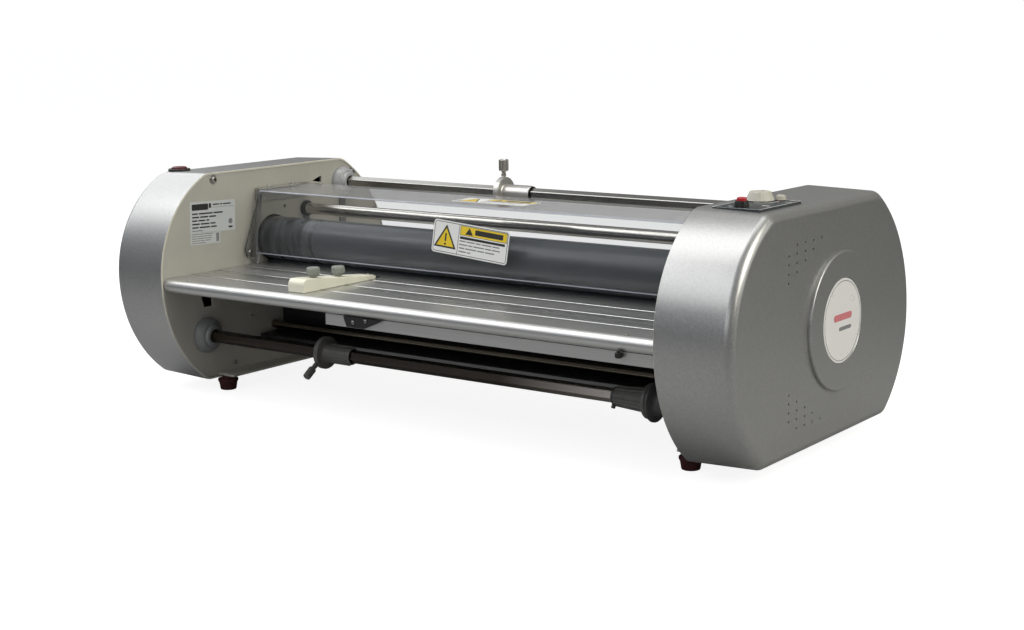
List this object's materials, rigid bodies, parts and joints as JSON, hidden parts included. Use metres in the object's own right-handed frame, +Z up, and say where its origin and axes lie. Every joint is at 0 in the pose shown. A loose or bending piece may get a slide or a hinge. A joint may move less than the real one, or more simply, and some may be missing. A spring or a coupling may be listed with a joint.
{
  "type": "cold roll laminator",
  "caption": "Wide-format cold laminator: silicone roller pair between silver end covers, feed table with edge guide, clear shield, supply and take-up shafts.",
  "frame": {"origin": "standing surface, under the middle of the bounding box", "axes": "+X along the rollers towards the drive end, -Y the feed side, +Z up"},
  "size_m": [0.9048, 0.433, 0.2943],
  "materials": {
    "silver_paint": "silver metallic paint, satin",
    "plate_paint": "light warm grey paint, satin",
    "aluminium": "satin anodised",
    "steel": "ground bar",
    "black_metal": "black, satin",
    "silicone": "smooth silicone",
    "hub_grey": "moulded, semi-gloss",
    "hub_dark": "moulded, satin",
    "clear_sheet": "clear acrylic sheet",
    "cream_plastic": "moulded, satin",
    "knob_grey": "moulded, ribbed",
    "red_plastic": "moulded, gloss",
    "foot_rubber": "dark red rubber",
    "panel_grey": "dark grey, satin",
    "black_plastic": "moulded, satin",
    "brass": "cut teeth"
  },
  "bodies": {
    "frame": {"left_side_plate": "plate_paint", "right_side_plate": "plate_paint", "left_end_cover": "silver_paint", "right_end_cover": "silver_paint", "foot_front_left": "foot_rubber", "foot_front_right": "foot_rubber", "foot_rear_left": "foot_rubber", "foot_rear_right": "foot_rubber", "feed_table": "aluminium", "front_fascia": "aluminium", "table_bracket": "black_metal", "table_screw": "black_plastic", "exit_table": "aluminium", "lower_tray": "black_metal", "tie_rod": "steel", "top_bearing_left": "black_metal", "top_bearing_right": "black_metal", "bottom_bearing_left": "black_metal", "bottom_bearing_right": "black_metal", "pressure_spring_left": "steel", "pressure_spring_right": "steel", "gear_motor": "black_metal", "idler_bush_left": "black_plastic", "idler_bush_right": "black_plastic", "control_panel": "panel_grey", "stop_button_base": "black_plastic", "power_inlet": "black_plastic"},
    "top_roller": {"top_roller": "silicone", "top_roller_shaft": "steel", "top_roller_gear": "steel"},
    "bottom_roller": {"bottom_roller": "silicone", "bottom_roller_shaft": "steel", "bottom_roller_gear": "steel"},
    "motor_pinion": {"motor_pinion": "brass"},
    "idler": {"idler_bar": "steel"},
    "supply_shaft": {"supply_shaft": "steel", "supply_hub_left": "hub_grey", "supply_hub_right": "hub_grey"},
    "supply_collar": {"supply_collar": "aluminium"},
    "supply_thumbscrew": {"supply_thumbscrew": "steel"},
    "takeup_shaft": {"takeup_shaft": "steel", "takeup_hub_left": "hub_grey", "takeup_hub_right": "hub_dark", "takeup_chuck": "hub_dark"},
    "takeup_collar": {"takeup_collar": "hub_dark"},
    "takeup_thumbscrew": {"takeup_thumbscrew": "hub_dark"},
    "shield": {"shield_panel": "clear_sheet", "shield_bracket_left": "black_metal", "shield_bracket_right": "black_metal"},
    "guide": {"guide_bar": "cream_plastic", "guide_clip": "steel"},
    "guide_knob_front": {"guide_knob_front": "knob_grey"},
    "guide_knob_rear": {"guide_knob_rear": "knob_grey"},
    "stop_button": {"stop_button": "red_plastic"},
    "left_stop_button": {"left_stop_button": "red_plastic"},
    "speed_knob": {"speed_knob": "cream_plastic"},
    "mode_knob": {"mode_knob": "cream_plastic"},
    "power_rocker": {"power_rocker": "black_plastic"}
  },
  "joints": [
    {"name": "top_roller_spin", "type": "hinge", "parent": "frame", "child": "top_roller", "pos_m": [0, -0.0138, 0.1873], "axis": [1, 0, 0], "continuous": true},
    {"name": "bottom_roller_spin", "type": "hinge", "parent": "frame", "child": "bottom_roller", "pos_m": [0, -0.0138, 0.1293], "axis": [1, 0, 0], "continuous": true},
    {"name": "motor_pinion_spin", "type": "hinge", "parent": "frame", "child": "motor_pinion", "pos_m": [0.387, 0.0067, 0.09379], "axis": [1, 0, 0], "continuous": true},
    {"name": "idler_spin", "type": "hinge", "parent": "frame", "child": "idler", "pos_m": [0, 0.05, 0.22], "axis": [1, 0, 0], "continuous": true},
    {"name": "supply_shaft_spin", "type": "hinge", "parent": "frame", "child": "supply_shaft", "pos_m": [0, 0.125, 0.25], "axis": [1, 0, 0], "continuous": true},
    {"name": "supply_collar_slide", "type": "slide", "parent": "supply_shaft", "child": "supply_collar", "axis": [1, 0, 0], "range_m": [-0.19, 0.33]},
    {"name": "supply_thumbscrew_turn", "type": "hinge", "parent": "supply_collar", "child": "supply_thumbscrew", "pos_m": [-0.0775, 0.125, 0.25], "axis": [0, 0, 1], "continuous": true},
    {"name": "takeup_shaft_spin", "type": "hinge", "parent": "frame", "child": "takeup_shaft", "pos_m": [0, -0.1435, 0.0745], "axis": [1, 0, 0], "continuous": true},
    {"name": "takeup_collar_slide", "type": "slide", "parent": "takeup_shaft", "child": "takeup_collar", "axis": [1, 0, 0], "range_m": [-0.13, 0.33]},
    {"name": "takeup_thumbscrew_turn", "type": "hinge", "parent": "takeup_collar", "child": "takeup_thumbscrew", "pos_m": [-0.153, -0.1435, 0.0745], "axis": [0, -0.8192, -0.5736], "continuous": true},
    {"name": "shield_hinge", "type": "hinge", "parent": "frame", "child": "shield", "pos_m": [0, 0.044, 0.246], "axis": [-1, 0, 0], "range_deg": [0, 80]},
    {"name": "edge_guide_slide", "type": "slide", "parent": "frame", "child": "guide", "axis": [1, 0, 0], "range_m": [-0.17, 0.47]},
    {"name": "guide_knob_front_turn", "type": "hinge", "parent": "guide", "child": "guide_knob_front", "pos_m": [-0.1485, -0.165, 0.17], "axis": [0, 0, 1], "continuous": true},
    {"name": "guide_knob_rear_turn", "type": "hinge", "parent": "guide", "child": "guide_knob_rear", "pos_m": [-0.1485, -0.121, 0.17], "axis": [0, 0, 1], "continuous": true},
    {"name": "stop_button_push", "type": "slide", "parent": "frame", "child": "stop_button", "axis": [0, 0, -1], "range_m": [0, 0.003], "stiffness_N_per_m": 600, "springref_m": -0.002},
    {"name": "left_stop_button_push", "type": "slide", "parent": "frame", "child": "left_stop_button", "axis": [0, 0, -1], "range_m": [0, 0.0025], "stiffness_N_per_m": 600, "springref_m": -0.002},
    {"name": "speed_knob_turn", "type": "hinge", "parent": "frame", "child": "speed_knob", "pos_m": [0.3936, -0.057, 0.29], "axis": [0, 0, 1], "range_deg": [-135, 135]},
    {"name": "mode_knob_turn", "type": "hinge", "parent": "frame", "child": "mode_knob", "pos_m": [0.411, -0.0436, 0.29], "axis": [0, 0, 1], "range_deg": [-60, 60]},
    {"name": "power_rocker_tilt", "type": "hinge", "parent": "frame", "child": "power_rocker", "pos_m": [0.424, 0.2079, 0.131], "axis": [1, 0, 0], "range_deg": [0, 16]}
  ],
  "couplings": [
    {"joint": "bottom_roller_spin", "follows": "top_roller_spin", "ratio": -1},
    {"joint": "motor_pinion_spin", "follows": "top_roller_spin", "ratio": 2.4167}
  ]
}
